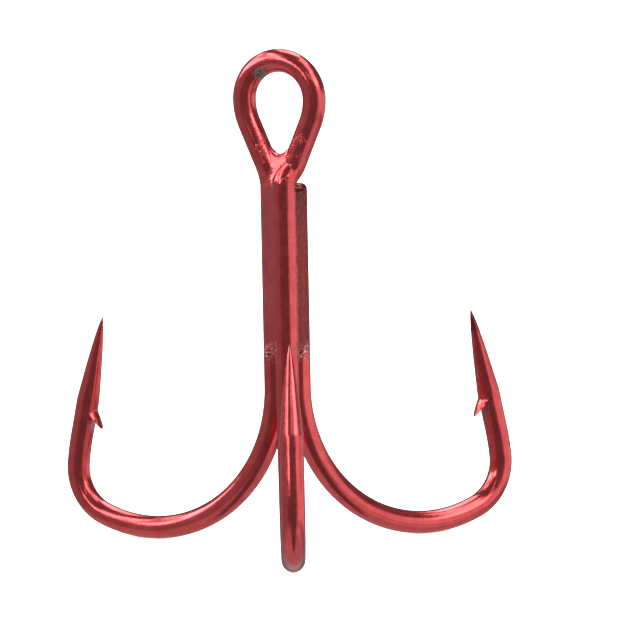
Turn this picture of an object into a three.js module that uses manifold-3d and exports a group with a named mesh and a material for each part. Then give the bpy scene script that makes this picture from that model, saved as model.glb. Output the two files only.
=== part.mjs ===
// Treble hook: a double hook bent from one wire, with the line eye at its middle, and a single
// hook, brazed together along their shanks.
//
// Millimetres, +Z up the shank. The origin is the centre of the eye. The front hook points to -Y,
// and the other two stand 120 degrees either side of it. The three bends reach the same depth, so
// the hook also stands on them.
import * as THREE from 'three';
import { mergeVertices } from 'three/addons/utils/BufferGeometryUtils.js';
import Module from 'manifold-3d';

const wasm = await Module();
wasm.setup();

// Wire
const WIRE_RADIUS = 0.8;
const WIRE_SIDES = 12;
const STEP_LENGTH = 0.75;
const BRAZE_FILM = 0.04; // between wires, and between a wire and a braze solid

// Eye: a round top, flatter sides, straight legs and a short neck arc (centre-line radii)
const EYE_TOP_RADIUS = 2.68;
const EYE_SIDE_RADIUS = 4.15;
const EYE_LEG_ANGLE = degrees(24);
const NECK_RADIUS = 1.75;
const EYE_TURN = degrees(26); // the eye's plane, from +X towards -Y
const EYE_OFFSET = 0.44; // how far off the shank's axis the eye is, against its own two shanks
const TWIST_BOTTOM = -5.9;
const TWIST_TOP = -4.5;

// Hooks: each leaves the shank in its own plane, through three arcs, to a straight pointed leg
const BEND_START = -19.97;
const BEND_RADIUS = 10.37;
const BEND_TURN = degrees(112);
const CORNER_RADIUS = 3.42;
const CORNER_TURN = degrees(74.5);
const FRONT_RADIUS = 18.2;
const FRONT_TURN = degrees(6.4);
const LEG_LENGTH = 8.72;
const SINGLE_HOOK_TOP = -5.85;
const HOOK_COUNT = 3;

// Point and barb, measured back from the tip along the leg
const POINT_LENGTH = 6.1;
const POINT_POWER = 0.68; // radius grows with this power of the distance from the tip
const TIP_RADIUS = 0.06;
const BARB_ROOT = 5.4;
const BARB_ROOT_HEIGHT = 0.64;
const BARB_TIP = 7.6;
const BARB_HEIGHT = 0.7; // above the wire
const BARB_UNDERCUT = 0.15;
const BARB_WIDTH = 0.7;
const NOTCH_END = 9.2;
const NOTCH_DEPTH = 0.22;

// Braze
const BRAZE_BOTTOM = -17.2;
const BRAZE_TOP = -6.0;
const GROOVE_DEPTH = 0.25; // of the curve that draws the fillet's hollow face in
const GROOVE_RIM = degrees(68); // where its face leaves a wire, from the line between the wires
const GROOVE_ROOT = degrees(20); // where it ends towards the core
const THROAT_TOP = -3.83;
const THROAT_BOTTOM = -4.95;
const THROAT_TOP_SPREAD = 1.4; // half-widths of the plate, inside the wire on both sides
const THROAT_BOTTOM_SPREAD = 0.8;
const THROAT_THICKNESS = 1.0;

const SHANK_HALF_GAP = WIRE_RADIUS + BRAZE_FILM / 2;
const SHANK_CIRCLE = SHANK_HALF_GAP / Math.cos(degrees(30)); // circle through the three shanks

const lacquer = { color: 0x9c2b33, roughness: 0.25, metalness: 0.6 };
const brazeFinish = { color: 0xa8353c, roughness: 0.35, metalness: 0.6 };

function degrees(angle) {
  return (angle * Math.PI) / 180;
}

// A unit vector in the XY plane, with azimuth 0 to the front (-Y) and 90 degrees to the right (+X)
function outward(azimuth) {
  return new THREE.Vector2(Math.sin(azimuth), -Math.cos(azimuth));
}

const FRONT = 0;
const RIGHT = (2 * Math.PI) / HOOK_COUNT;
const LEFT = -RIGHT;

// A flat line of straight and round stretches. Each stretch has a length, or a radius and a turn;
// a positive turn is anticlockwise. The line starts at (x, y) in the direction of heading.
class FlatLine {
  constructor(x, y, heading, stretches) {
    this.pieces = [];
    this.length = 0;
    for (const { radius = 0, turn = 0, length = radius * Math.abs(turn) } of stretches) {
      this.pieces.push({ x, y, heading, turn, length, start: this.length });
      this.length += length;
      [x, y] = this.pointAt(this.length);
      heading += turn;
    }
    this.end = { x, y, heading };
  }

  pointAt(distance) {
    const piece = this.pieces.findLast((each) => each.start <= distance) ?? this.pieces[0];
    const along = distance - piece.start;
    const { x, y, heading, turn, length } = piece;
    if (turn === 0) {
      return [x + along * Math.cos(heading), y + along * Math.sin(heading)];
    }
    const swept = (turn * along) / length;
    const signedRadius = length / turn;
    return [
      x + signedRadius * (Math.sin(heading + swept) - Math.sin(heading)),
      y - signedRadius * (Math.cos(heading + swept) - Math.cos(heading)),
    ];
  }
}

// One side of the eye, from the middle of its top down to the end of the neck, and then the shank
function makeEyeLine() {
  const sideSpread = EYE_TOP_RADIUS - EYE_SIDE_RADIUS * (1 - Math.cos(EYE_LEG_ANGLE));
  const neckSpread = SHANK_HALF_GAP + NECK_RADIUS * (1 - Math.cos(EYE_LEG_ANGLE));
  const legLength = (sideSpread - neckSpread) / Math.sin(EYE_LEG_ANGLE);
  const neckDepth = (EYE_SIDE_RADIUS + NECK_RADIUS) * Math.sin(EYE_LEG_ANGLE);
  const neckEnd = -neckDepth - legLength * Math.cos(EYE_LEG_ANGLE);
  return new FlatLine(0, EYE_TOP_RADIUS, 0, [
    { radius: EYE_TOP_RADIUS, turn: -Math.PI / 2 },
    { radius: EYE_SIDE_RADIUS, turn: -EYE_LEG_ANGLE },
    { length: legLength },
    { radius: NECK_RADIUS, turn: EYE_LEG_ANGLE },
    { length: neckEnd - BEND_START },
  ]);
}

// A hook in its own plane: x is the distance from the shank's axis and y is the height
const eyeLine = makeEyeLine();
const hookLine = new FlatLine(SHANK_CIRCLE, BEND_START, -Math.PI / 2, [
  { radius: BEND_RADIUS, turn: BEND_TURN },
  { radius: CORNER_RADIUS, turn: CORNER_TURN },
  { radius: FRONT_RADIUS, turn: FRONT_TURN },
  { length: LEG_LENGTH },
]);

function hookPoint(azimuth, distance) {
  const [reach, height] = hookLine.pointAt(distance);
  const flat = outward(azimuth).multiplyScalar(reach);
  return new THREE.Vector3(flat.x, flat.y, height);
}

// The eye's two legs turn about the line midway between them until they meet their shanks
const pairMiddle = outward(LEFT / 2).multiplyScalar(SHANK_CIRCLE / 2);
const pairTurn = RIGHT / 2;

function eyePoint(side, distance) {
  const [spread, height] = eyeLine.pointAt(distance);
  const lifted = THREE.MathUtils.smoothstep(height, TWIST_BOTTOM, TWIST_TOP);
  const turn = THREE.MathUtils.lerp(pairTurn, EYE_TURN, lifted);
  const middle = pairMiddle.clone().multiplyScalar(THREE.MathUtils.lerp(1, EYE_OFFSET, lifted));
  return new THREE.Vector3(
    middle.x + side * spread * Math.cos(turn),
    middle.y - side * spread * Math.sin(turn),
    height,
  );
}

// Centre-line of the double hook's wire, from the left point over the eye to the front point
class DoubleHookCurve extends THREE.Curve {
  constructor() {
    super();
    this.arcLengthDivisions = 2000;
  }

  getPoint(t, target = new THREE.Vector3()) {
    const side = t < 0.5 ? -1 : 1;
    const fromEyeTop = Math.abs(2 * t - 1) * (eyeLine.length + hookLine.length);
    if (fromEyeTop <= eyeLine.length) {
      return target.copy(eyePoint(side, fromEyeTop));
    }
    return target.copy(hookPoint(side < 0 ? LEFT : FRONT, fromEyeTop - eyeLine.length));
  }
}

// Centre-line of the single hook's wire, from the top of its shank to its point
class SingleHookCurve extends THREE.Curve {
  constructor() {
    super();
    this.arcLengthDivisions = 1000;
  }

  getPoint(t, target = new THREE.Vector3()) {
    const shankLength = SINGLE_HOOK_TOP - BEND_START;
    const fromTop = t * (shankLength + hookLine.length);
    if (fromTop <= shankLength) {
      const flat = outward(RIGHT).multiplyScalar(SHANK_CIRCLE);
      return target.set(flat.x, flat.y, SINGLE_HOOK_TOP - fromTop);
    }
    return target.copy(hookPoint(RIGHT, fromTop - shankLength));
  }
}

function wireSection(radius) {
  const corners = [];
  for (let i = 0; i < WIRE_SIDES; i += 1) {
    const angle = (2 * Math.PI * i) / WIRE_SIDES;
    corners.push(new THREE.Vector2(radius * Math.cos(angle), radius * Math.sin(angle)));
  }
  return new THREE.Shape(corners);
}

function sweepWire(curve, radius) {
  const steps = Math.round(curve.getLength() / STEP_LENGTH);
  return new THREE.ExtrudeGeometry(wireSection(radius), {
    steps,
    extrudePath: curve,
    bevelEnabled: false,
  });
}

// Directions at a hook's leg: the tip, back down the leg, and inward to the shank
function legFrame(azimuth) {
  const tip = hookPoint(azimuth, hookLine.length);
  const back = hookPoint(azimuth, hookLine.length - LEG_LENGTH).sub(tip).normalize();
  const flat = outward(azimuth + Math.PI / 2);
  const sideways = new THREE.Vector3(flat.x, flat.y, 0);
  const inward = new THREE.Vector3().crossVectors(sideways, back).normalize();
  return { tip, back, inward };
}

// Draws the last stretch of a leg down to its tip
function sharpen(geometry, azimuth) {
  const { tip, back } = legFrame(azimuth);
  const position = geometry.getAttribute('position');
  const vertex = new THREE.Vector3();
  for (let i = 0; i < position.count; i += 1) {
    vertex.fromBufferAttribute(position, i);
    const offset = vertex.clone().sub(tip);
    const fromTip = offset.dot(back);
    if (fromTip < POINT_LENGTH && offset.length() < POINT_LENGTH + WIRE_RADIUS) {
      const onAxis = tip.clone().addScaledVector(back, fromTip);
      const share = (Math.max(fromTip, 0) / POINT_LENGTH) ** POINT_POWER;
      const scale = Math.max(share, TIP_RADIUS / WIRE_RADIUS);
      vertex.sub(onAxis).multiplyScalar(scale).add(onAxis);
      position.setXYZ(i, vertex.x, vertex.y, vertex.z);
    }
  }
}

function toManifold(geometry) {
  const bare = geometry.clone();
  bare.deleteAttribute('normal');
  bare.deleteAttribute('uv');
  const merged = mergeVertices(bare, 1e-4);
  return new wasm.Manifold(new wasm.Mesh({
    numProp: 3,
    vertProperties: merged.getAttribute('position').array,
    triVerts: new Uint32Array(merged.getIndex().array),
  }));
}

function toGeometry(manifold) {
  const { vertProperties, triVerts } = manifold.getMesh();
  const geometry = new THREE.BufferGeometry();
  geometry.setAttribute('position', new THREE.BufferAttribute(vertProperties, 3));
  geometry.setIndex(new THREE.BufferAttribute(triVerts, 1));
  geometry.computeVertexNormals();
  return geometry;
}

// A prism in a hook's plane. Its outline is in leg coordinates: distance back from the tip, and
// height from the leg's axis towards the shank.
function legPrism(azimuth, outline, width) {
  const { tip, back, inward } = legFrame(azimuth);
  const shape = new THREE.Shape(outline.map(([x, y]) => new THREE.Vector2(x, y)));
  const prism = new THREE.ExtrudeGeometry(shape, { depth: width, bevelEnabled: false });
  prism.translate(0, 0, -width / 2);
  const across = new THREE.Vector3().crossVectors(back, inward);
  const placing = new THREE.Matrix4().makeBasis(back, inward, across).setPosition(tip);
  return toManifold(prism.applyMatrix4(placing));
}

// Lifts the barb and leaves the notch that it was cut from
function cutBarb(solid, azimuth) {
  const barb = legPrism(azimuth, [
    [BARB_ROOT, 0],
    [BARB_TIP, 0],
    [BARB_TIP - BARB_UNDERCUT, WIRE_RADIUS],
    [BARB_TIP, WIRE_RADIUS + BARB_HEIGHT],
    [BARB_ROOT, BARB_ROOT_HEIGHT],
  ], BARB_WIDTH);
  const notch = legPrism(azimuth, [
    [BARB_TIP, WIRE_RADIUS - NOTCH_DEPTH],
    [NOTCH_END, WIRE_RADIUS],
    [NOTCH_END, 2 * WIRE_RADIUS],
    [BARB_TIP, 2 * WIRE_RADIUS],
  ], 3 * WIRE_RADIUS);
  return solid.add(barb).subtract(notch);
}

function makeWire(curve, azimuths) {
  const swept = sweepWire(curve, WIRE_RADIUS);
  azimuths.forEach((azimuth) => sharpen(swept, azimuth));
  let solid = toManifold(swept);
  azimuths.forEach((azimuth) => {
    solid = cutBarb(solid, azimuth);
  });
  return toGeometry(solid);
}

function extrudeBraze(shape) {
  const braze = new THREE.ExtrudeGeometry(shape, {
    depth: BRAZE_TOP - BRAZE_BOTTOM,
    bevelEnabled: false,
    curveSegments: 4,
  });
  return braze.translate(0, 0, BRAZE_BOTTOM);
}

// A fillet along the groove that faces outward at an azimuth, between the two shanks beside it.
// In section, y runs outward through the middle of the groove.
function makeGrooveBraze(azimuth) {
  const clearRadius = WIRE_RADIUS + BRAZE_FILM;
  const wireX = SHANK_HALF_GAP;
  const wireY = SHANK_CIRCLE / 2;
  const rimX = wireX - clearRadius * Math.cos(GROOVE_RIM);
  const rimY = wireY + clearRadius * Math.sin(GROOVE_RIM);
  const shape = new THREE.Shape();
  shape.absarc(wireX, wireY, clearRadius, Math.PI - GROOVE_RIM, Math.PI - GROOVE_ROOT, false);
  shape.absarc(-wireX, wireY, clearRadius, GROOVE_ROOT, GROOVE_RIM, false);
  shape.quadraticCurveTo(0, rimY - GROOVE_DEPTH, rimX, rimY);
  return extrudeBraze(shape).rotateZ(azimuth + Math.PI);
}

// The three-cornered thread between the shanks. Its hollow sides stop just short of where they
// would cross.
function makeCoreBraze() {
  const clearRadius = WIRE_RADIUS + BRAZE_FILM;
  const crossing = degrees(30) - Math.acos(SHANK_HALF_GAP / clearRadius);
  const half = 0.95 * crossing;
  const shape = new THREE.Shape();
  for (const azimuth of [FRONT, RIGHT, LEFT]) {
    const centre = outward(azimuth).multiplyScalar(SHANK_CIRCLE);
    const facing = azimuth + Math.PI / 2;
    shape.absarc(centre.x, centre.y, clearRadius, facing + half, facing - half, true);
  }
  return extrudeBraze(shape);
}

// The web between the legs of the eye: a plate cut away round the wire
function makeThroatBraze(doubleHookCurve) {
  const eyeMiddle = pairMiddle.clone().multiplyScalar(EYE_OFFSET);
  const shape = new THREE.Shape([
    new THREE.Vector2(-THROAT_BOTTOM_SPREAD, THROAT_BOTTOM),
    new THREE.Vector2(THROAT_BOTTOM_SPREAD, THROAT_BOTTOM),
    new THREE.Vector2(THROAT_TOP_SPREAD, THROAT_TOP),
    new THREE.Vector2(-THROAT_TOP_SPREAD, THROAT_TOP),
  ]);
  const plate = new THREE.ExtrudeGeometry(shape, { depth: THROAT_THICKNESS, bevelEnabled: false });
  plate.translate(0, 0, -THROAT_THICKNESS / 2);
  plate.rotateX(Math.PI / 2);
  plate.rotateZ(-EYE_TURN);
  plate.translate(eyeMiddle.x, eyeMiddle.y, 0);
  const clearWire = toManifold(sweepWire(doubleHookCurve, WIRE_RADIUS + BRAZE_FILM));
  return toGeometry(toManifold(plate).subtract(clearWire));
}

function addPiece(group, name, geometry, finish) {
  const mesh = new THREE.Mesh(geometry, new THREE.MeshStandardMaterial(finish));
  mesh.name = name;
  group.add(mesh);
}

const doubleHookCurve = new DoubleHookCurve();
const trebleHook = new THREE.Group();
addPiece(trebleHook, 'double_hook', makeWire(doubleHookCurve, [LEFT, FRONT]), lacquer);
addPiece(trebleHook, 'single_hook', makeWire(new SingleHookCurve(), [RIGHT]), lacquer);
addPiece(trebleHook, 'braze_front_left', makeGrooveBraze(LEFT / 2), brazeFinish);
addPiece(trebleHook, 'braze_front_right', makeGrooveBraze(RIGHT / 2), brazeFinish);
addPiece(trebleHook, 'braze_rear', makeGrooveBraze(Math.PI), brazeFinish);
addPiece(trebleHook, 'braze_core', makeCoreBraze(), brazeFinish);
addPiece(trebleHook, 'braze_throat', makeThroatBraze(doubleHookCurve), brazeFinish);

export default trebleHook;
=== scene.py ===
"""Looks of a lacquered treble hook: two bent wires with cut barbs, their braze, and a pale studio."""
import math

import bpy
import numpy as np
from mathutils import Matrix, Vector


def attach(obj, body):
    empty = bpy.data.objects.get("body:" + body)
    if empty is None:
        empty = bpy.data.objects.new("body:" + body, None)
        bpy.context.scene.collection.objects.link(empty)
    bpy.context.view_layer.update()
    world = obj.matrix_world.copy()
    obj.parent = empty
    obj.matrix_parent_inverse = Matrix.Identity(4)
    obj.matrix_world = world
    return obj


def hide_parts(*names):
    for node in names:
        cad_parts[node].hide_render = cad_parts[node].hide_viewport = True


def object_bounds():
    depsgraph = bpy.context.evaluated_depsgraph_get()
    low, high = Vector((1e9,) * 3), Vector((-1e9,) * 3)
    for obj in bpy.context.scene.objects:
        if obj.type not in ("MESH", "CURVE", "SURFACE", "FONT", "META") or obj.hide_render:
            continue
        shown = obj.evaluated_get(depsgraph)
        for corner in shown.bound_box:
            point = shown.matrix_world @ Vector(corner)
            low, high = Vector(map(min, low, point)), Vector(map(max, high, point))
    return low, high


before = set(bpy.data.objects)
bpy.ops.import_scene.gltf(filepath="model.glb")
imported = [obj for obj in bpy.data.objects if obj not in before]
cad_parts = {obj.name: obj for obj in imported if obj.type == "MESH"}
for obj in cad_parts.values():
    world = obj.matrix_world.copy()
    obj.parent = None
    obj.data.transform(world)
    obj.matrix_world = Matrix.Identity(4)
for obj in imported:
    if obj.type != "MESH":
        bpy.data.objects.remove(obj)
cad_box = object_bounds()

MM = 0.001

# Wire. The film is its lacquer, and the gap is the fine one between neighbouring shanks
WIRE_RADIUS = 0.8 * MM
FILM = 0.005 * MM
BRAZE_GAP = 0.04 * MM
ROUND_SIDES = 56
RING_STEP = 0.11 * MM

# Eye, as centre-line radii, with its origin at the eye's centre
EYE_TOP_RADIUS = 2.68 * MM
EYE_SIDE_RADIUS = 4.15 * MM
EYE_LEG_ANGLE = math.radians(24)
NECK_RADIUS = 1.75 * MM
EYE_TURN = math.radians(26)
EYE_OFFSET = 0.44
TWIST_BOTTOM = -5.9 * MM
TWIST_TOP = -4.5 * MM

# Hooks
BEND_START = -19.97 * MM
BEND_RADIUS = 10.37 * MM
BEND_TURN = math.radians(112)
CORNER_RADIUS = 3.42 * MM
CORNER_TURN = math.radians(74.5)
FRONT_RADIUS = 18.2 * MM
FRONT_TURN = math.radians(6.4)
LEG_LENGTH = 8.72 * MM
SINGLE_HOOK_TOP = -5.85 * MM
SINGLE_HOOK_EDGE = 0.42 * MM
EDGE_STEPS = 8

# The front hook leans a little to the right of its shank
FRONT_LEAN = math.radians(0.95)
LEAN_LENGTH = 7.0 * MM

# Point and barb, measured back from the tip along the leg. A barb is the sliver above a sloping cut,
# lifted about its hinge
POINT_LENGTH = 6.1 * MM
POINT_POWER = 0.68
TIP_RADIUS = 0.018 * MM
HINGE_BACK_LEFT = 6.74 * MM
HINGE_BACK_FRONT = 6.64 * MM
HINGE_BACK_RIGHT = 6.38 * MM
HINGE_HEIGHT = 0.44 * MM
CUT_SLOPE = math.radians(13.2)
BARB_LIFT = math.radians(31)
BARB_THINNEST = 0.012 * MM
BARB_ROWS = 26
BARB_COLUMNS = 17
BEND_IN = 0.7 * MM
NOTCH_LENGTH = 2.4 * MM
SHARP_WIRE = math.radians(35)

# Braze: its run down the shanks, and the width of the soft join that fills each groove and the throat
BRAZE_TOP = -6.0 * MM
BRAZE_BOTTOM = -17.2 * MM
FILL_GROOVE = 1.55 * MM
FILL_THROAT = 1.95 * MM
FILL_SINGLE_TOP = 0.3 * MM
FILLET_TOP = -2.85 * MM
FILLET_FADE = 0.7 * MM

# The flat face wiped along each groove, and the sloping one on the web under the eye
FACE_PROUD = 0.012 * MM
FACE_BLEND = 0.06 * MM
WEB_FOOT = -6.3 * MM
WEB_STEP = 0.12 * MM
WEB_AZIMUTH_BOTTOM = math.radians(-58)
WEB_AZIMUTH_TOP = math.radians(-34)
WEB_SLOPE = math.tan(math.radians(16.5))

# The braze is drawn in by SKIN, ends where it would be thinner than half of that, and reaches BURIED
# into the wires. Its surface ripples, and it crumbles over the last ROUGH_END
SKIN = 0.012 * MM
BURIED = 0.1 * MM
EDGE_STEEPNESS = 8
FILLED_DEPTH = 0.12 * MM
RIPPLE = 0.006 * MM
RIPPLE_SIZE = 0.7 * MM
CRUMB_HEIGHT = 0.02 * MM
CRUMB_SIZE = 0.2 * MM
ROUGH_END = 0.9 * MM
RAGGED_HEIGHT = ROUGH_END * 0.4
RAGGED_SIZE = 0.5 * MM

# Where joins fade in or out, either side of the braze's foot, the single hook's top and the throat's foot
FOOT_FADE = (-0.4 * MM, 0.5 * MM)
SINGLE_FADE = (-0.6 * MM, -0.1 * MM)
THROAT_FADE = (-0.2 * MM, 0.8 * MM)

# Mesh of the braze
BRAZE_NET = 0.065 * MM
BATCH = 20000
NOISE_CELLS = 16
GROOVE_CENTRE = 0.65 * MM
GROOVE_REACH = 1.1 * MM
THROAT_LOW = (-2.6 * MM, -2.2 * MM)
THROAT_HIGH = (2.4 * MM, 2.0 * MM)
SETTLE_ROUNDS = 7
SETTLE_PROBE = 0.02
SETTLE_LEAST_SLOPE = 0.05
SETTLE_LONGEST_MOVE = 0.5
SHARP_BRAZE = math.radians(50)

# Where the ring has worn the lacquer away, in the eye's own plane: across, up and to the front
WORN_PLACE = (-1.08 * MM, 1.84 * MM, 0.45 * MM)
WORN_REACH = 0.85 * MM

SHANK_HALF_GAP = WIRE_RADIUS + BRAZE_GAP / 2
SHANK_CIRCLE = SHANK_HALF_GAP / math.cos(math.radians(30))
FRONT = 0.0
RIGHT = 2 * math.pi / 3
LEFT = -RIGHT


def smoothstep(value, low, high):
    share = np.clip((value - low) / (high - low), 0, 1)
    return share * share * (3 - 2 * share)


def outward(azimuth):
    """A unit vector in the XY plane: azimuth 0 is the front, -Y, and 90 degrees the right, +X."""
    return np.array([np.sin(azimuth), -np.cos(azimuth)])


# ---------------------------------------------------------------- centre-lines


class FlatLine:
    """A flat line of stretches, each a (radius, turn) or a (length, None), from (x, y) at heading."""

    def __init__(self, x, y, heading, stretches):
        self.rows = []
        start = 0.0
        for size, turn in stretches:
            length = size if turn is None else size * abs(turn)
            self.rows.append((start, x, y, heading, turn or 0.0, length))
            start += length
            self.length = start
            x, y = (float(v[0]) for v in self.at(np.array([start])))
            heading += turn or 0.0

    def at(self, distance):
        x = np.zeros_like(distance)
        y = np.zeros_like(distance)
        for start, x0, y0, heading, turn, length in self.rows:
            here = distance >= start
            along = distance[here] - start
            if turn == 0.0:
                x[here] = x0 + along * math.cos(heading)
                y[here] = y0 + along * math.sin(heading)
            else:
                radius = length / turn
                swept = heading + along / radius
                x[here] = x0 + radius * (np.sin(swept) - math.sin(heading))
                y[here] = y0 - radius * (np.cos(swept) - math.cos(heading))
        return x, y


def make_eye_line():
    """One side of the eye, from the middle of its top to the bottom of the neck, then the shank."""
    side_spread = EYE_TOP_RADIUS - EYE_SIDE_RADIUS * (1 - math.cos(EYE_LEG_ANGLE))
    neck_spread = SHANK_HALF_GAP + NECK_RADIUS * (1 - math.cos(EYE_LEG_ANGLE))
    leg = (side_spread - neck_spread) / math.sin(EYE_LEG_ANGLE)
    depth = (EYE_SIDE_RADIUS + NECK_RADIUS) * math.sin(EYE_LEG_ANGLE) + leg * math.cos(EYE_LEG_ANGLE)
    return FlatLine(0.0, EYE_TOP_RADIUS, 0.0, [
        (EYE_TOP_RADIUS, -math.pi / 2),
        (EYE_SIDE_RADIUS, -EYE_LEG_ANGLE),
        (leg, None),
        (NECK_RADIUS, EYE_LEG_ANGLE),
        (-depth - BEND_START, None),
    ])


eye_line = make_eye_line()
hook_line = FlatLine(SHANK_CIRCLE, BEND_START, -math.pi / 2, [
    (BEND_RADIUS, BEND_TURN),
    (CORNER_RADIUS, CORNER_TURN),
    (FRONT_RADIUS, FRONT_TURN),
    (LEG_LENGTH, None),
])


def lean(azimuth):
    """How far a hook is turned from its shank's azimuth by the end of its bend."""
    return FRONT_LEAN if azimuth == FRONT else 0.0


def hook_points(azimuth, distance):
    reach, height = hook_line.at(distance)
    flat = outward(azimuth + lean(azimuth) * smoothstep(distance, 0, LEAN_LENGTH))
    return np.column_stack([flat[0] * reach, flat[1] * reach, height])


def eye_points(side, distance):
    """The eye's leg on one side, turned about the pair's middle until it meets its own shank."""
    spread, height = eye_line.at(distance)
    lifted = smoothstep(height, TWIST_BOTTOM, TWIST_TOP)
    turn = RIGHT / 2 + (EYE_TURN - RIGHT / 2) * lifted
    middle = np.outer(1 + (EYE_OFFSET - 1) * lifted, outward(LEFT / 2) * SHANK_CIRCLE / 2)
    return np.column_stack([
        middle[:, 0] + side * spread * np.cos(turn),
        middle[:, 1] - side * spread * np.sin(turn),
        height,
    ])


def half_wire(side, azimuth):
    """From the middle of the eye's top down to the point of the hook on that side."""
    length = eye_line.length + hook_line.length
    distance = np.linspace(0, length, round(length / RING_STEP) + 1)
    in_eye = distance <= eye_line.length
    upper = eye_points(side, distance[in_eye])
    return np.vstack([upper, hook_points(azimuth, distance[~in_eye] - eye_line.length)])


def double_hook_line():
    return np.vstack([half_wire(-1, LEFT)[:0:-1], half_wire(1, FRONT)])


def single_hook_line():
    shank = SINGLE_HOOK_TOP - BEND_START
    length = shank + hook_line.length
    edge = SINGLE_HOOK_EDGE * (1 - np.cos(np.linspace(0, math.pi / 2, EDGE_STEPS + 1)[:-1]))
    distance = np.append(edge, np.linspace(SINGLE_HOOK_EDGE, length, round(length / RING_STEP) + 1))
    in_shank = distance <= shank
    flat = outward(RIGHT) * SHANK_CIRCLE
    straight = [[flat[0], flat[1], SINGLE_HOOK_TOP - d] for d in distance[in_shank]]
    return np.vstack([straight, hook_points(RIGHT, distance[~in_shank] - shank)])


# ---------------------------------------------------------------- meshes


def new_object(name, vertices, faces, smooth=True):
    mesh = bpy.data.meshes.new(name)
    mesh.from_pydata([tuple(v) for v in vertices], [], [tuple(f) for f in faces])
    mesh.validate()
    mesh.polygons.foreach_set("use_smooth", [smooth] * len(mesh.polygons))
    piece = bpy.data.objects.new(name, mesh)
    bpy.context.scene.collection.objects.link(piece)
    return piece


def turn_outward(piece):
    """Turns the faces of a closed mesh outward."""
    mesh = piece.data
    volume = 0.0
    for face in mesh.polygons:
        a, b, c = (mesh.vertices[i].co for i in face.vertices[:3])
        volume += a.cross(b).dot(c) * (len(face.vertices) - 2)
    if volume < 0:
        mesh.flip_normals()


def along_line(points):
    steps = np.linalg.norm(np.diff(points, axis=0), axis=1)
    return np.concatenate([[0.0], np.cumsum(steps)])


def unit(vectors):
    return vectors / np.linalg.norm(vectors, axis=-1, keepdims=True)


def ring_frames(points):
    """Tangent and two steady cross directions at each point of a line."""
    tangents = unit(np.gradient(points, axis=0))
    across = np.zeros_like(points)
    least = np.eye(3)[np.abs(tangents[0]).argmin()]
    across[0] = unit(np.cross(tangents[0], least))
    for i in range(1, len(points)):
        carried = across[i - 1] - tangents[i] * (across[i - 1] @ tangents[i])
        across[i] = carried / np.linalg.norm(carried)
    return tangents, across, np.cross(tangents, across)


def point_radius(from_tip):
    share = np.clip(from_tip / POINT_LENGTH, 0, 1) ** POINT_POWER
    return np.maximum((WIRE_RADIUS + FILM) * share, TIP_RADIUS)


def make_tube(name, points, radii):
    """A round closed tube along a line, with a radius at each point."""
    _, across, up = ring_frames(points)
    angle = np.linspace(0, 2 * math.pi, ROUND_SIDES, endpoint=False)
    circle = across[:, None] * np.cos(angle)[None, :, None] + up[:, None] * np.sin(angle)[None, :, None]
    rings = points[:, None] + circle * radii[:, None, None]
    vertices = np.vstack([rings.reshape(-1, 3), points[:1], points[-1:]])
    count = len(points)
    faces = []
    for i in range(count - 1):
        for j in range(ROUND_SIDES):
            k = (j + 1) % ROUND_SIDES
            a, b = i * ROUND_SIDES, (i + 1) * ROUND_SIDES
            faces.append((a + j, a + k, b + k, b + j))
    first, last = count * ROUND_SIDES, count * ROUND_SIDES + 1
    end = (count - 1) * ROUND_SIDES
    for j in range(ROUND_SIDES):
        k = (j + 1) % ROUND_SIDES
        faces.append((first, k, j))
        faces.append((last, end + j, end + k))
    tube = new_object(name, vertices, faces)
    turn_outward(tube)
    return tube


def combine(target, tool, operation):
    """Joins or cuts target with tool, and removes tool."""
    modifier = target.modifiers.new("combine", "BOOLEAN")
    modifier.object = tool
    modifier.operation = operation
    modifier.solver = "EXACT"
    graph = bpy.context.evaluated_depsgraph_get()
    mesh = bpy.data.meshes.new_from_object(target.evaluated_get(graph))
    target.modifiers.clear()
    old = target.data
    target.data = mesh
    bpy.data.meshes.remove(old)
    bpy.data.objects.remove(tool)


# ---------------------------------------------------------------- barbs


def leg_frame(azimuth):
    """The tip, and the directions back down the leg, in towards the shank, and across."""
    ends = hook_points(azimuth, np.array([hook_line.length, hook_line.length - LEG_LENGTH]))
    tip = ends[0]
    back = unit(ends[1] - tip)
    flat = outward(azimuth + lean(azimuth) + math.pi / 2)
    inward = unit(np.cross([flat[0], flat[1], 0.0], back))
    return tip, back, inward, np.cross(back, inward)


def from_leg(azimuth, coordinates):
    """Places (back, inward, across) coordinates of a leg in the part's frame."""
    tip, *directions = leg_frame(azimuth)
    return tip + np.asarray(coordinates) @ np.array(directions)


def cut_height(back, hinge):
    """How far the blade's cut lies inward of the leg's centre-line."""
    return HINGE_HEIGHT + (back - hinge) * math.tan(CUT_SLOPE)


def make_notch(azimuth, hinge):
    """The wedge that the blade leaves empty once the barb is lifted."""
    end = hinge + NOTCH_LENGTH
    top = 3 * WIRE_RADIUS
    outline = [
        (hinge, HINGE_HEIGHT),
        (end, cut_height(end, hinge)),
        (end, top),
        (hinge, top),
    ]
    corners = [(x, y, z) for z in (-top, top) for x, y in outline]
    faces = [(0, 1, 2, 3), (7, 6, 5, 4)]
    faces += [(i, i + 4, (i + 1) % 4 + 4, (i + 1) % 4) for i in range(4)]
    piece = new_object("notch", from_leg(azimuth, corners), faces, smooth=False)
    turn_outward(piece)
    return piece


def two_sided_faces(rows, columns):
    """Faces of two grids of points, one over the other and joined all round their rim."""
    size = rows * columns
    faces = []
    for i in range(rows - 1):
        for j in range(columns - 1):
            a = i * columns + j
            quad = (a, a + 1, a + columns + 1, a + columns)
            faces.append(quad)
            faces.append(tuple(size + v for v in reversed(quad)))
    rim = list(range(columns))
    rim += [i * columns + columns - 1 for i in range(1, rows)]
    rim += [size - 1 - j for j in range(1, columns)]
    rim += [i * columns for i in range(rows - 2, 0, -1)]
    for a, b in zip(rim, rim[1:] + rim[:1]):
        faces.append((b, a, size + a, size + b))
    return faces


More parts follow.
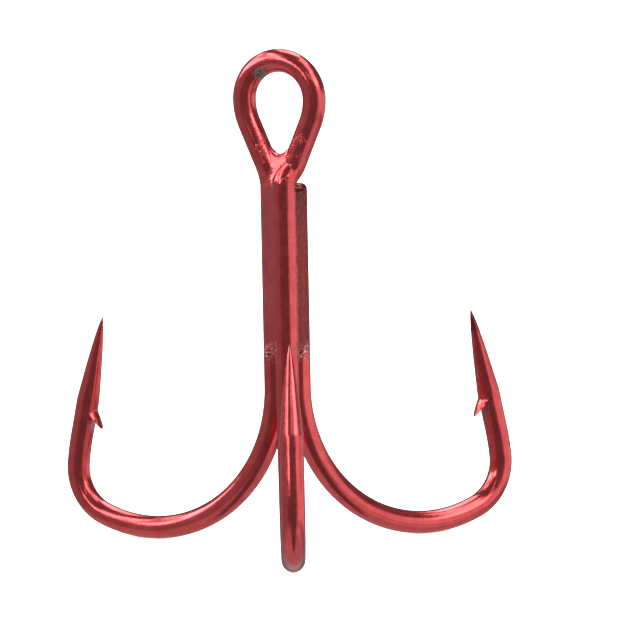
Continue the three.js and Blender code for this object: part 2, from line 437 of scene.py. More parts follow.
def make_barb(azimuth, hinge):
    """The sliver of wire above the cut, bent up about its root: a pointed tongue."""
    sliver_end = hinge + (WIRE_RADIUS - HINGE_HEIGHT) / math.tan(CUT_SLOPE)
    back = np.linspace(hinge - BEND_IN, sliver_end, BARB_ROWS)
    cut = cut_height(back, hinge)
    radius = point_radius(back)
    half_width = np.sqrt(np.maximum(radius**2 - cut**2, BARB_THINNEST**2))
    share = np.linspace(-1, 1, BARB_COLUMNS)
    across = half_width[:, None] * share[None, :]
    top = np.sqrt(np.maximum(radius[:, None] ** 2 - across**2, 0))
    top = np.maximum(top, cut[:, None] + BARB_THINNEST)
    bottom = np.broadcast_to(cut[:, None], top.shape)
    lift = BARB_LIFT * smoothstep(back, hinge - BEND_IN, hinge + BEND_IN)
    layers = []
    for height in (top, bottom):
        dx = back[:, None] - hinge
        dy = height - HINGE_HEIGHT
        x = hinge + dx * np.cos(lift)[:, None] - dy * np.sin(lift)[:, None]
        y = HINGE_HEIGHT + dx * np.sin(lift)[:, None] + dy * np.cos(lift)[:, None]
        layers.append(np.stack([x, y, across], axis=-1).reshape(-1, 3))
    faces = two_sided_faces(BARB_ROWS, BARB_COLUMNS)
    piece = new_object("barb", from_leg(azimuth, np.vstack(layers)), faces)
    turn_outward(piece)
    return piece


def cut_barb(wire, azimuth, hinge):
    combine(wire, make_notch(azimuth, hinge), "DIFFERENCE")
    combine(wire, make_barb(azimuth, hinge), "UNION")


def mark_sharp(piece, angle):
    """Smooth shading that breaks where the surface turns by more than angle."""
    mesh = piece.data
    mesh.polygons.foreach_set("use_smooth", [True] * len(mesh.polygons))
    mesh.set_sharp_from_angle(angle=angle)


def make_double_hook():
    points = double_hook_line()
    along = along_line(points)
    radii = np.minimum(point_radius(along), point_radius(along[-1] - along))
    piece = make_tube("double_hook_wire", points, radii)
    cut_barb(piece, LEFT, HINGE_BACK_LEFT)
    cut_barb(piece, FRONT, HINGE_BACK_FRONT)
    mark_sharp(piece, SHARP_WIRE)
    return piece, points


def make_single_hook():
    points = single_hook_line()
    along = along_line(points)
    left_of_edge = np.clip(SINGLE_HOOK_EDGE - along, 0, None)
    rounding = SINGLE_HOOK_EDGE - np.sqrt(SINGLE_HOOK_EDGE**2 - left_of_edge**2)
    radii = np.minimum(point_radius(along[-1] - along), WIRE_RADIUS + FILM - rounding)
    piece = make_tube("single_hook_wire", points, radii)
    cut_barb(piece, RIGHT, HINGE_BACK_RIGHT)
    mark_sharp(piece, SHARP_WIRE)
    return piece, points


double_hook, double_line = make_double_hook()
single_hook, single_line = make_single_hook()


# ---------------------------------------------------------------- braze


def soft_noise(points, size, seed):
    """Smooth random values from -1 to 1 in lumps of about size."""
    table = np.random.default_rng(seed).uniform(-1, 1, (NOISE_CELLS,) * 3)
    cell = np.floor(points / size).astype(int)
    share = points / size - cell
    share = share * share * (3 - 2 * share)
    total = np.zeros(len(points))
    for corner in np.ndindex(2, 2, 2):
        i, j, k = ((cell + corner) % NOISE_CELLS).T
        total += table[i, j, k] * np.prod(np.where(corner, share, 1 - share), axis=1)
    return total


def line_distance(points, line):
    """Distance from each point to a line of samples, measured square to the nearest stretch."""
    tangents = unit(np.gradient(line, axis=0))
    found = np.empty(len(points))
    for start in range(0, len(points), BATCH):
        part = points[start:start + BATCH]
        square = (part**2).sum(1)[:, None] + (line**2).sum(1)[None, :] - 2 * part @ line.T
        nearest = square.argmin(1)
        offset = part - line[nearest]
        along = (offset * tangents[nearest]).sum(1)
        found[start:start + BATCH] = np.sqrt(np.maximum((offset**2).sum(1) - along**2, 0))
    return found


def soft_join(a, b, width):
    overlap = np.maximum(width - np.abs(a - b), 0)
    return np.minimum(a, b) - overlap**2 / (4 * np.maximum(width, 1e-9))


middle = len(double_line) // 2
near_shank = double_line[:, 2] > BEND_START
left_shank_line = double_line[:middle][near_shank[:middle]][::2]
front_shank_line = double_line[middle:][near_shank[middle:]][::2]
right_axis = outward(RIGHT) * SHANK_CIRCLE


def single_distance(points):
    """Distance to the single hook's shank, which has a rounded end."""
    outside = np.hypot(points[:, 0] - right_axis[0], points[:, 1] - right_axis[1]) - WIRE_RADIUS - FILM
    above = points[:, 2] - SINGLE_HOOK_TOP
    edge = SINGLE_HOOK_EDGE
    rounded = np.hypot(np.maximum(outside + edge, 0), np.maximum(above + edge, 0)) - edge
    return np.maximum(np.minimum(np.maximum(outside, above), 0), rounded)


def face_distance(points, azimuth):
    """Distance out from the flat face that touches the two wires beside a groove."""
    reach = SHANK_CIRCLE / 2 + WIRE_RADIUS + FILM + FACE_PROUD
    return points[:, :2] @ outward(azimuth) - reach


def web_distance(points):
    """Distance out from the face under the eye, which turns with the wires and slopes back."""
    groove = face_distance(points, LEFT / 2)
    above = points[:, 2] - WEB_FOOT
    risen = smoothstep(points[:, 2], TWIST_BOTTOM, TWIST_TOP)
    facing = outward(WEB_AZIMUTH_BOTTOM + (WEB_AZIMUTH_TOP - WEB_AZIMUTH_BOTTOM) * risen)
    reach = SHANK_CIRCLE / 2 + WIRE_RADIUS + FILM + WEB_STEP
    slope = points[:, 0] * facing[0] + points[:, 1] * facing[1] - reach + above * WEB_SLOPE
    return np.where(above > 0, slope, groove)


def groove_fill(a, b, width, face):
    """The soft join of two wires, wiped flat at its face."""
    return -soft_join(-soft_join(a, b, width), -np.minimum(face, 1), FACE_BLEND)


def fade_in(height, level, span):
    return smoothstep(height, level + span[0], level + span[1])


def joined_wires(height, left, front, right, points):
    """The wires and their fillets as one soft body: a join fades out at the braze's ends."""
    ragged = RAGGED_HEIGHT * soft_noise(points, RAGGED_SIZE, 3)
    begun = fade_in(height + ragged, BRAZE_BOTTOM, FOOT_FADE)
    under_single = 1 - fade_in(height, SINGLE_HOOK_TOP, SINGLE_FADE)
    in_throat = fade_in(height, BRAZE_TOP, THROAT_FADE)
    closed = 1 - smoothstep(height, FILLET_TOP - FILLET_FADE, FILLET_TOP)
    throat = (FILL_GROOVE + (FILL_THROAT - FILL_GROOVE) * in_throat) * closed * begun
    beside_single = (FILL_SINGLE_TOP + (FILL_GROOVE - FILL_SINGLE_TOP) * under_single) * begun
    joined = groove_fill(left, front, throat, web_distance(points))
    for a, b, azimuth in ((front, right, RIGHT / 2), (right, left, math.pi)):
        joined = np.minimum(joined, groove_fill(a, b, beside_single, face_distance(points, azimuth)))
    return joined


def braze_field(points):
    """Negative inside the braze, which is what a soft join of the wires adds between them."""
    height = points[:, 2]
    left = line_distance(points, left_shank_line) - WIRE_RADIUS - FILM
    front = line_distance(points, front_shank_line) - WIRE_RADIUS - FILM
    right = single_distance(points)
    wires = np.minimum(np.minimum(left, front), right)
    joined = joined_wires(height, left, front, right, points)
    bulge = wires - joined
    filled = smoothstep(bulge, 0, FILLED_DEPTH)
    ripple = RIPPLE * soft_noise(points, RIPPLE_SIZE, 5)
    near_end = 1 - smoothstep(height, BRAZE_BOTTOM, BRAZE_BOTTOM + ROUGH_END)
    crumbs = CRUMB_HEIGHT * soft_noise(points, CRUMB_SIZE, 7) * near_end
    surface = joined + SKIN + (ripple + crumbs) * filled
    edge = EDGE_STEEPNESS * (0.5 * SKIN - bulge)
    return np.maximum(np.maximum(surface, -(wires + BURIED)), edge)


def surface_net(field, low, high, step):
    """Vertices and quads of the surface where field is zero, inside a box."""
    axes = [np.arange(a, b, step) for a, b in zip(low, high)]
    grid = np.stack(np.meshgrid(*axes, indexing="ij"), axis=-1)
    shape = grid.shape[:3]
    inside = field(grid.reshape(-1, 3)).reshape(shape) < 0
    for axis in range(3):
        for side in (0, -1):
            edge = [slice(None)] * 3
            edge[axis] = side
            inside[tuple(edge)] = False
    corners = sum(
        inside[i:shape[0] - 1 + i, j:shape[1] - 1 + j, k:shape[2] - 1 + k].astype(int)
        for i, j, k in np.ndindex(2, 2, 2)
    )
    mixed = (corners > 0) & (corners < 8)
    number = np.full(mixed.shape, -1)
    number[mixed] = np.arange(mixed.sum())
    vertices = np.array(low) + (np.argwhere(mixed) + 0.5) * step
    quads = []
    for axis in range(3):
        before = [slice(None)] * 3
        after = [slice(None)] * 3
        before[axis] = slice(0, -1)
        after[axis] = slice(1, None)
        one, two = inside[tuple(before)], inside[tuple(after)]
        b, c = (axis + 1) % 3, (axis + 2) % 3
        for starts, turned in ((one & ~two, False), (two & ~one, True)):
            at = np.argwhere(starts)
            ring = []
            for db, dc in ((0, 0), (-1, 0), (-1, -1), (0, -1)):
                cell = at.copy()
                cell[:, b] += db
                cell[:, c] += dc
                ring.append(number[tuple(cell.T)])
            quad = np.column_stack(ring)
            quads.append(quad if turned else quad[:, ::-1])
    return vertices, np.vstack(quads)


def settle(field, vertices, step):
    """Moves the vertices on to the surface where field is zero."""
    reach = SETTLE_PROBE * step
    for _ in range(SETTLE_ROUNDS):
        value = field(vertices)
        slope = np.column_stack([
            (field(vertices + reach * d) - field(vertices - reach * d)) / (2 * reach) for d in np.eye(3)
        ])
        size = np.maximum((slope**2).sum(1), SETTLE_LEAST_SLOPE)
        move = slope * (value / size)[:, None]
        length = np.linalg.norm(move, axis=1, keepdims=True)
        vertices = vertices - move * np.minimum(1, SETTLE_LONGEST_MOVE * step / np.maximum(length, 1e-12))
    return vertices


def make_braze(name, low, high, keep):
    """One run of braze: the part of the field for which keep, a second field, is negative."""
    def field(points):
        return np.maximum(braze_field(points), keep(points))

    vertices, quads = surface_net(field, low, high, BRAZE_NET)
    vertices = settle(field, vertices, BRAZE_NET)
    piece = new_object(name, vertices, quads)
    mark_sharp(piece, SHARP_BRAZE)
    return piece


def in_groove(azimuth):
    """Negative within 60 degrees of a groove's azimuth, and below the neck."""
    edges = [outward(azimuth + side * (math.pi / 3 + math.pi / 2)) for side in (-1, 1)]

    def keep(points):
        flat = points[:, :2]
        sides = np.maximum(flat @ edges[0], flat @ edges[1])
        return np.maximum(sides, points[:, 2] - BRAZE_TOP)

    return keep


def above_grooves(points):
    return BRAZE_TOP - 2 * BRAZE_NET - points[:, 2]


def make_braze_pieces():
    made = {}
    for node, azimuth in (
        ("braze_front_left", LEFT / 2),
        ("braze_front_right", RIGHT / 2),
        ("braze_rear", math.pi),
    ):
        centre = outward(azimuth) * GROOVE_CENTRE
        low = (*(centre - GROOVE_REACH), BRAZE_BOTTOM - 1.2 * MM)
        high = (*(centre + GROOVE_REACH), BRAZE_TOP + 2 * BRAZE_NET)
        made[node] = make_braze(node + "_metal", low, high, in_groove(azimuth))
    low = (*THROAT_LOW, BRAZE_TOP - 4 * BRAZE_NET)
    high = (*THROAT_HIGH, FILLET_TOP + 0.1 * MM)
    made["braze_throat"] = make_braze("braze_throat_metal", low, high, above_grooves)
    return made


braze_pieces = make_braze_pieces()
for piece in [double_hook, single_hook, *braze_pieces.values()]:
    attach(piece, "root")
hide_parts("double_hook")
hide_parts("single_hook")
for node, piece in braze_pieces.items():
    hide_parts(node)


# ---------------------------------------------------------------- materials

DEEP_RED = (0.68, 0.060, 0.065, 1)
BRIGHT_RED = (0.83, 0.095, 0.100, 1)
EDGE_RED = (0.80, 0.50, 0.50, 1)
SCORCHED = (0.27, 0.042, 0.038, 1)
SOOTY = (0.09, 0.035, 0.030, 1)
CRUMB = (0.85, 0.48, 0.47, 1)
PIT = (0.20, 0.022, 0.024, 1)
# Darker red for the notch floor under each barb: painted shade under the barb
SHADE_UNDER_BARB = (0.42, 0.10, 0.11, 1)
BARE_STEEL = (0.52, 0.47, 0.43, 1)
GRIMY_STEEL = (0.10, 0.085, 0.075, 1)
TIP_STEEL = (0.26, 0.13, 0.13, 1)
COAT_IOR = 1.45
COAT_ROUGHNESS = 0.09

# How deep the bump is for a relief of 1, and how much each kind of unevenness counts in it
RELIEF = 0.0038 * MM
GRAIN_RELIEF = 1.2
BRAZED_RELIEF = 2.4
WRINKLE_RELIEF = 8.0
LINE_RELIEF = 2.2
BARE_RELIEF = 5.0

# Noise scales, in lumps to the metre
MOTTLE = 1100
RIPPLES = 1500
GLOSS = 2500
GRAIN = 4600
CHIPS = 6000
DRAWING_LINES = 6000
WRINKLES = 7500
SPECKS = 7500
BARE_PITS = 9000
GRIME = 12000

# Lacquer roughness, what scorching, bare steel and a cut add to it, and how much scorching dulls the coat
LACQUER_ROUGHNESS = (0.15, 0.24)
SCORCH_ROUGHER = 0.12
BARE_ROUGHER = 0.25
CUT_ROUGHER = 0.2
SCORCH_DULLER = 0.7

# The browned area: how far its edge wanders, the X and heights over which it fades, and where soot begins
# and is full
WANDER = 0.3 * MM
SCORCH_EDGE = (0.72 * MM, 0.90 * MM)
SCORCH_LOW = (BRAZE_BOTTOM - 0.1 * MM, BRAZE_BOTTOM + 0.3 * MM)
SCORCH_HIGH = (SINGLE_HOOK_TOP - 0.05 * MM, SINGLE_HOOK_TOP + 0.25 * MM)
SOOT_REACH = (-9.5 * MM, -6.2 * MM)

# Other areas, as the spans over which they fade in or out: the shanks by distance from the axis, the
# braze's crumbly foot by X and height, the eye's shoulders and the brazed run by height, and the tips
SHANK_SPAN = (3.5 * MM, 4.5 * MM)
FOOT_SWAY = 1.6 * MM
FOOT_SIDE = (0.60 * MM, 0.80 * MM)
FOOT_LOW = (BRAZE_BOTTOM - 0.9 * MM, BRAZE_BOTTOM - 0.6 * MM)
FOOT_HIGH = (BRAZE_BOTTOM + 0.1 * MM, BRAZE_BOTTOM + 0.5 * MM)
SHOULDER_LOW = (-4.6 * MM, -3.6 * MM)
SHOULDER_HIGH = (-2.4 * MM, -1.8 * MM)
BRAZED_LOW = (BRAZE_BOTTOM - 0.9 * MM, BRAZE_BOTTOM)
BRAZED_HIGH = (-3.0 * MM, -1.0 * MM)
TIP_SPAN = (0.1 * MM, 0.65 * MM)


def add(tree, kind, links=(), **settings):
    """Adds a shader node: settings are its properties, and links feed its inputs by name or number."""
    node = tree.nodes.new(kind)
    for name, value in settings.items():
        setattr(node, name, value)
    for name, value in dict(links).items():
        if isinstance(value, bpy.types.NodeSocket):
            tree.links.new(value, node.inputs[name])
        else:
            node.inputs[name].default_value = value
    return node


def noise(tree, vector, scale, detail=3.0, roughness=0.55):
    made = add(tree, "ShaderNodeTexNoise", {
        "Vector": vector,
        "Scale": scale,
        "Detail": detail,
        "Roughness": roughness,
    })
    return made.outputs["Fac"]


def ramp(tree, value, low, high, start=0.0, end=1.0):
    made = add(tree, "ShaderNodeMapRange", {
        "Value": value, "From Min": low, "From Max": high, "To Min": start, "To Max": end,
    }, interpolation_type="SMOOTHSTEP")
    return made.outputs["Result"]


def mix_colour(tree, share, a, b):
    made = add(tree, "ShaderNodeMix", data_type="RGBA")
    for socket, value in zip((made.inputs[0], made.inputs[6], made.inputs[7]), (share, a, b)):
        if isinstance(value, bpy.types.NodeSocket):
            tree.links.new(value, socket)
        else:
            socket.default_value = value
    return made.outputs[2]


def maths(tree, operation, a, b=0.0):
    made = add(tree, "ShaderNodeMath", {0: a, 1: b}, operation=operation)
    return made.outputs[0]


def product(tree, first, *others):
    for other in others:
        first = maths(tree, "MULTIPLY", first, other)
    return first


def add_up(tree, first, *others):
    for other in others:
        first = maths(tree, "ADD", first, other)
    return first


def scaled(tree, value, factor):
    return maths(tree, "MULTIPLY", value, factor)


def swayed(tree, value, field, width):
    """Value moved by up to half of width either way, as field goes from 0 to 1."""
    return maths(tree, "ADD", value, scaled(tree, maths(tree, "SUBTRACT", field, 0.5), width))


def shank_share(tree, place):
    """1 near the shanks, and 0 out at the hooks' legs."""
    flat = add(tree, "ShaderNodeVectorMath", {0: place, 1: (1, 1, 0)}, operation="MULTIPLY").outputs[0]
    from_axis = add(tree, "ShaderNodeVectorMath", {0: flat}, operation="LENGTH").outputs["Value"]
    return ramp(tree, from_axis, *SHANK_SPAN, 1.0, 0.0)


def scorch_share(tree, x, z, mottle, grain):
    """The heat of brazing has browned the side where the single hook lies."""
    at_side = ramp(tree, swayed(tree, x, mottle, WANDER), *SCORCH_EDGE)
    low_end = ramp(tree, swayed(tree, z, mottle, WANDER), *SCORCH_LOW)
    high_end = ramp(tree, z, *SCORCH_HIGH, 1.0, 0.0)
    return product(tree, at_side, low_end, high_end, ramp(tree, grain, 0.2, 0.6, 0.6, 1.0))


def foot_share(tree, at_shank, x, z, grain):
    """The crumbly lower end of the braze, on the left and right shanks."""
    ragged = swayed(tree, z, grain, FOOT_SWAY)
    return product(
        tree,
        at_shank,
        ramp(tree, maths(tree, "ABSOLUTE", x), *FOOT_SIDE),
        ramp(tree, ragged, *FOOT_LOW),
        ramp(tree, ragged, *FOOT_HIGH, 1.0, 0.0),
    )


def shoulder_share(tree, z, mottle):
    """Patches on the eye's legs, just over the neck, where the lacquer has wrinkled."""
    return product(
        tree,
        ramp(tree, z, *SHOULDER_LOW),
        ramp(tree, z, *SHOULDER_HIGH, 1.0, 0.0),
        ramp(tree, mottle, 0.55, 0.65),
    )


def lacquer_colour(tree, place, z, mottle, scorch, foot):
    colour = mix_colour(tree, ramp(tree, mottle, 0.25, 0.75), DEEP_RED, BRIGHT_RED)
    soot = ramp(tree, swayed(tree, z, mottle, WANDER), *SOOT_REACH, 0.0, 0.85)
    colour = mix_colour(tree, scorch, colour, mix_colour(tree, soot, SCORCHED, SOOTY))
    speck = noise(tree, place, SPECKS, 3)
    colour = mix_colour(tree, product(tree, foot, ramp(tree, speck, 0.40, 0.48, 0.85, 0.0)), colour, PIT)
    return mix_colour(tree, product(tree, foot, ramp(tree, speck, 0.54, 0.60)), colour, CRUMB)


def lacquer_relief(tree, place, z, at_shank, grain, wrinkled):
    """Fine grain everywhere, coarser where the braze has run, with wrinkles on top."""
    brazed = product(tree, ramp(tree, z, *BRAZED_LOW), at_shank, ramp(tree, z, *BRAZED_HIGH, 1.0, 0.25))
    wrinkles = product(tree, ramp(tree, noise(tree, place, WRINKLES, 3), 0.47, 0.60), wrinkled)
    grained = product(tree, grain, maths(tree, "ADD", GRAIN_RELIEF, scaled(tree, brazed, BRAZED_RELIEF)))
    return add_up(tree, grained, scaled(tree, wrinkles, WRINKLE_RELIEF))


def attribute(tree, name, output="Fac"):
    return add(tree, "ShaderNodeAttribute", attribute_name=name).outputs[output]


def drawing_lines(tree):
    """Fine lines along the wire, from its drawing through the die."""
    run = attribute(tree, "wire_place", "Vector")
    stretched = add(tree, "ShaderNodeVectorMath", {0: run, 1: (0.04, 1, 1)}, operation="MULTIPLY")
    return noise(tree, stretched.outputs[0], DRAWING_LINES, 3)


def bare_share(tree, place):
    """Where the ring has chipped the lacquer away."""
    chipped = add_up(tree, attribute(tree, "worn"), scaled(tree, noise(tree, place, CHIPS, 3), 1.1))
    return ramp(tree, chipped, 0.96, 1.04)


def wire_colour(tree, place, colour, bare, cut):
    tip = ramp(tree, attribute(tree, "tip_distance"), *TIP_SPAN, 1.0, 0.0)
    colour = mix_colour(tree, tip, colour, TIP_STEEL)
    grime = ramp(tree, noise(tree, place, GRIME, 3), 0.40, 0.60)
    colour = mix_colour(tree, bare, colour, mix_colour(tree, grime, BARE_STEEL, GRIMY_STEEL))
    # The notch floor under each barb is darkened towards this colour: painted shade under the barb
    return mix_colour(tree, scaled(tree, cut, 0.85), colour, SHADE_UNDER_BARB)


def make_lacquer(name, wire):
    """Clear red over bright metal. A wire has drawing lines along it, and braze has ripples."""
    material = bpy.data.materials.new(name)
    material.use_nodes = True
    tree = material.node_tree
    tree.nodes.clear()
    place = add(tree, "ShaderNodeTexCoord").outputs["Object"]
    split = add(tree, "ShaderNodeSeparateXYZ", {0: place})
    x, z = split.outputs["X"], split.outputs["Z"]
    mottle = noise(tree, place, MOTTLE, 4)
    grain = noise(tree, place, GRAIN, 2)
    at_shank = shank_share(tree, place)
    scorch = scorch_share(tree, x, z, mottle, grain)
    foot = foot_share(tree, at_shank, x, z, grain)
    wrinkled = add_up(tree, foot, shoulder_share(tree, z, mottle))
    colour = lacquer_colour(tree, place, z, mottle, scorch, foot)
    relief = lacquer_relief(tree, place, z, at_shank, grain, wrinkled)
    roughness = ramp(tree, noise(tree, place, GLOSS, 3), 0.3, 0.7, *LACQUER_ROUGHNESS)
    roughness = add_up(tree, roughness, scaled(tree, scorch, SCORCH_ROUGHER))
    coat = maths(tree, "SUBTRACT", 1.0, scaled(tree, scorch, SCORCH_DULLER))
    if wire:
        bare = bare_share(tree, place)
        # The cut mask makes the notch floor rougher, and darker as painted shade under the barb
        cut = attribute(tree, "cut")
        colour = wire_colour(tree, place, colour, bare, cut)
        rougher = (scaled(tree, bare, BARE_ROUGHER), scaled(tree, cut, CUT_ROUGHER))
        roughness = add_up(tree, roughness, *rougher)
        coat = product(tree, coat, maths(tree, "SUBTRACT", 1.0, bare))
        bare_pits = product(tree, bare, noise(tree, place, BARE_PITS, 2), BARE_RELIEF)
        relief = add_up(tree, relief, scaled(tree, drawing_lines(tree), LINE_RELIEF), bare_pits)
    else:
        relief = add_up(tree, relief, noise(tree, place, RIPPLES, 4))
    bump = add(tree, "ShaderNodeBump", {"Height": relief, "Strength": 1.0, "Distance": RELIEF})
    surface = add(tree, "ShaderNodeBsdfPrincipled", {
        "Base Color": colour,
        "Roughness": roughness,
        "Metallic": 1.0,
        "Normal": bump.outputs[0],
        "Specular Tint": EDGE_RED,
        "Coat Weight": coat,
        "Coat Roughness": COAT_ROUGHNESS,
        "Coat IOR": COAT_IOR,
        "Coat Normal": bump.outputs[0],
    })
    add(tree, "ShaderNodeOutputMaterial", {"Surface": surface.outputs[0]})
    return material


def store(piece, name, kind, values):
    attribute = piece.data.attributes.new(name, kind, "POINT")
    field = "vector" if kind == "FLOAT_VECTOR" else "value"
    attribute.data.foreach_set(field, np.asarray(values, np.float32).ravel())


def vertex_places(piece):
    places = np.empty(len(piece.data.vertices) * 3)
    piece.data.vertices.foreach_get("co", places)
    return places.reshape(-1, 3)


def store_wire_places(piece, line, pointed_start):
    """Keeps where each vertex is along and round its wire, and how far it is from a tip."""
    places = vertex_places(piece)
    along = along_line(line)
    _, across, up = ring_frames(line)
    square = (places**2).sum(1)[:, None] + (line**2).sum(1)[None, :] - 2 * places @ line.T
    nearest = square.argmin(1)
    offset = places - line[nearest]
    run = along[nearest]
    round_the_wire = [(offset * axes[nearest]).sum(1) for axes in (across, up)]
    store(piece, "wire_place", "FLOAT_VECTOR", np.column_stack([run, *round_the_wire]))
    from_end = along[-1] - run
    store(piece, "tip_distance", "FLOAT", np.minimum(run, from_end) if pointed_start else from_end)


def store_wear(piece):
    turn = EYE_TURN
    middle = outward(LEFT / 2) * SHANK_CIRCLE / 2 * EYE_OFFSET
    across, up, front = WORN_PLACE
    centre = np.array([
        middle[0] + across * math.cos(turn) - front * math.sin(turn),
        middle[1] - across * math.sin(turn) - front * math.cos(turn),
        up,
    ])
    distance = np.linalg.norm(vertex_places(piece) - centre, axis=1)
    store(piece, "worn", "FLOAT", np.clip(1 - distance / WORN_REACH, 0, 1))


CUT_MARGIN = 0.05 * MM
CUT_LENGTH = 2.2 * MM
CUT_TOLERANCE = 0.03 * MM


def store_cuts(piece, barbs):
    """Marks the floor of each notch, the face that the blade left. The lacquer is made rougher there, and
    darker as painted shade under the barb.
    """
    places = vertex_places(piece)
    cut = np.zeros(len(places))
    for azimuth, hinge in barbs:
        tip, *directions = leg_frame(azimuth)
        back, inward, _ = ((places - tip) @ np.array(directions).T).T
        off_plane = np.abs(inward - cut_height(back, hinge))
        in_notch = (back > hinge - CUT_MARGIN) & (back < hinge + CUT_LENGTH)
        cut[in_notch & (off_plane < CUT_TOLERANCE)] = 1
    store(piece, "cut", "FLOAT", cut)


store_wire_places(double_hook, double_line, True)
store_wire_places(single_hook, single_line, False)
store_cuts(double_hook, ((LEFT, HINGE_BACK_LEFT), (FRONT, HINGE_BACK_FRONT)))
store_cuts(single_hook, ((RIGHT, HINGE_BACK_RIGHT),))
store_wear(double_hook)
store_wear(single_hook)
wire_lacquer = make_lacquer("wire_lacquer", True)
braze_lacquer = make_lacquer("braze_lacquer", False)
for piece in (double_hook, single_hook):
    piece.data.materials.clear()
    piece.data.materials.append(wire_lacquer)
for piece in [*braze_pieces.values(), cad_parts["braze_core"]]:
    piece.data.materials.clear()
    piece.data.materials.append(braze_lacquer)


# ---------------------------------------------------------------- studio

FLOOR_HALF = 3.0
FLOOR_COLOUR = (0.86, 0.86, 0.86, 1)
FLOOR_GLOW = 0.8
FLOOR_ROUGHNESS = 0.9


def make_floor():
    """Pale paper that glows a little, so that the hook hardly shades it."""
    lowest = cad_box[0][2]
    h = FLOOR_HALF
    floor = new_object("floor", [(-h, -h, lowest), (h, -h, lowest), (h, h, lowest), (-h, h, lowest)],
                       [(0, 1, 2, 3)], smooth=False)
    material = bpy.data.materials.new("floor_paper")
    material.use_nodes = True
    surface = material.node_tree.nodes["Principled BSDF"]
    surface.inputs["Base Color"].default_value = FLOOR_COLOUR
    surface.inputs["Roughness"].default_value = FLOOR_ROUGHNESS
    surface.inputs["Emission Color"].default_value = FLOOR_COLOUR
    surface.inputs["Emission Strength"].default_value = FLOOR_GLOW
    floor.data.materials.append(material)
    floor.visible_glossy = False


# Soft panels, in degrees from the hook: azimuth (0 in front, 90 to the right), elevation,
# half width, half height, tilt, and then radiance
PANELS = (
    (-110, 32, 18, 6, 114, 3.2),
    (-86, 29, 20, 9, 0, 2.8),
    (-93, 56, 11, 3.5, 0, 3.3),
    (-64, 45, 14, 4.5, -45, 3.4),
    (-50, 25, 9, 5, -69, 3.0),
    (-38, 19, 11, 5, -25, 2.6),
    (-140, 42, 6, 6, 0, 2.2),
    (11, 31, 16, 2.2, 0, 1.6),
    (49, 35, 15, 14, 0, 2.4),
    (62, 62, 14, 14, 0, 1.9),
    (135, 64, 20, 8, 0, 2.0),
    (174, 60, 14, 19, 0, 2.4),
)
PANEL_DISTANCE = 0.6
AIM_HEIGHT = -15 * MM


def make_panel(azimuth, elevation, half_width, half_height, tilt, radiance):
    light = bpy.data.lights.new("panel", "AREA")
    light.shape = "RECTANGLE"
    light.size = 2 * PANEL_DISTANCE * math.tan(math.radians(half_width))
    light.size_y = 2 * PANEL_DISTANCE * math.tan(math.radians(half_height))
    light.energy = radiance * math.pi * light.size * light.size_y
    panel = bpy.data.objects.new("panel", light)
    flat = outward(math.radians(azimuth)) * math.cos(math.radians(elevation))
    place = Vector((flat[0], flat[1], math.sin(math.radians(elevation)))) * PANEL_DISTANCE
    panel.location = place + Vector((0, 0, AIM_HEIGHT))
    panel.rotation_euler = (-place).to_track_quat("-Z", "Y").to_euler()
    panel.rotation_euler.rotate_axis("Z", math.radians(tilt))
    panel.visible_camera = False
    bpy.context.scene.collection.objects.link(panel)


# Room as the hook mirrors it, in degrees: azimuth, half width, bottom, top, soft edge, then radiance
ROOM_DARK = 0.17
ROOM_WALLS = (
    (-105, 55, -24, 18, 8, 0.15),
    (-85, 26, 20, 54, 5, 0.45),
    (78, 38, -18, 8, 7, 0.74),
    (58, 20, 8, 34, 5, 0.80),
    (57, 24, -42, -14, 8, 0.28),
    (135, 25, -20, 8, 6, 0.34),
    (180, 150, -91, -27, 9, 0.36),
)
ROOM_LIGHT = 1.6

# Keeps a cosine of 1 just inside the arc cosine's range
INSIDE_ONE = 0.99999


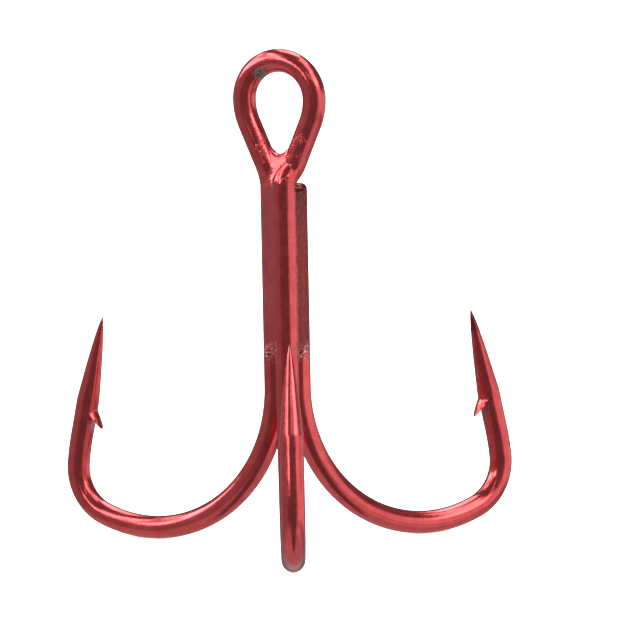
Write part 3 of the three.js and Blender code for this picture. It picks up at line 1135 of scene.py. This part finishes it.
def make_world():
    """An even white light for the floor, and a room of soft pale walls for the hook to mirror."""
    world = bpy.data.worlds.new("studio")
    world.use_nodes = True
    tree = world.node_tree
    direction = add(tree, "ShaderNodeTexCoord").outputs["Generated"]
    height = add(tree, "ShaderNodeSeparateXYZ", {0: direction}).outputs["Z"]
    elevation = maths(tree, "DEGREES", maths(tree, "ARCSINE", height))
    level = add(tree, "ShaderNodeVectorMath", {0: direction, 1: (1, 1, 0)}, operation="MULTIPLY")
    level = add(tree, "ShaderNodeVectorMath", {0: level.outputs[0]}, operation="NORMALIZE").outputs[0]
    glow = ROOM_DARK
    for azimuth, half_width, bottom, top, soft, radiance in ROOM_WALLS:
        centre = (*outward(math.radians(azimuth)), 0)
        along = add(tree, "ShaderNodeVectorMath", {0: level, 1: centre}, operation="DOT_PRODUCT")
        cosine = scaled(tree, along.outputs["Value"], INSIDE_ONE)
        aside = maths(tree, "DEGREES", maths(tree, "ARCCOSINE", cosine))
        share = product(
            tree,
            ramp(tree, aside, half_width - soft, half_width + soft, 1.0, 0.0),
            ramp(tree, elevation, bottom - soft, bottom + soft),
            ramp(tree, elevation, top - soft, top + soft, 1.0, 0.0),
        )
        glow = maths(tree, "ADD", glow, scaled(tree, share, radiance))
    mirrored = add(tree, "ShaderNodeLightPath").outputs["Is Glossy Ray"]
    shown = mix_colour(tree, mirrored, (ROOM_LIGHT, ROOM_LIGHT, ROOM_LIGHT, 1), glow)
    tree.links.new(shown, tree.nodes["Background"].inputs["Color"])
    bpy.context.scene.world = world


# ---------------------------------------------------------------- camera

CAMERA_DISTANCE = 0.346
CAMERA_ELEVATION = math.radians(5.41)
CAMERA_ROLL = math.radians(1.13)
CAMERA_AIM = Vector((1.59 * MM, 0, -14.57 * MM))
FRAME_WIDTH_AT_AIM = 42.77 * MM
SENSOR = 36.0
NEAREST = 0.01
FARTHEST = 20


def make_camera():
    e = CAMERA_ELEVATION
    forward = Vector((0, math.cos(e), -math.sin(e)))
    level_up = Vector((0, math.sin(e), math.cos(e)))
    level_right = Vector((1, 0, 0))
    c, s = math.cos(CAMERA_ROLL), math.sin(CAMERA_ROLL)
    right = level_right * c - level_up * s
    up = level_right * s + level_up * c
    data = bpy.data.cameras.new("camera")
    data.sensor_width = SENSOR
    data.lens = SENSOR * CAMERA_DISTANCE / FRAME_WIDTH_AT_AIM
    data.clip_start = NEAREST
    data.clip_end = FARTHEST
    camera = bpy.data.objects.new("camera", data)
    turn = Matrix((right, up, -forward)).transposed().to_4x4()
    camera.matrix_world = Matrix.Translation(CAMERA_AIM - forward * CAMERA_DISTANCE) @ turn
    bpy.context.scene.collection.objects.link(camera)
    bpy.context.scene.camera = camera


make_floor()
make_world()
for panel in PANELS:
    make_panel(*panel)
make_camera()
bpy.context.scene.view_settings.view_transform = "Standard"
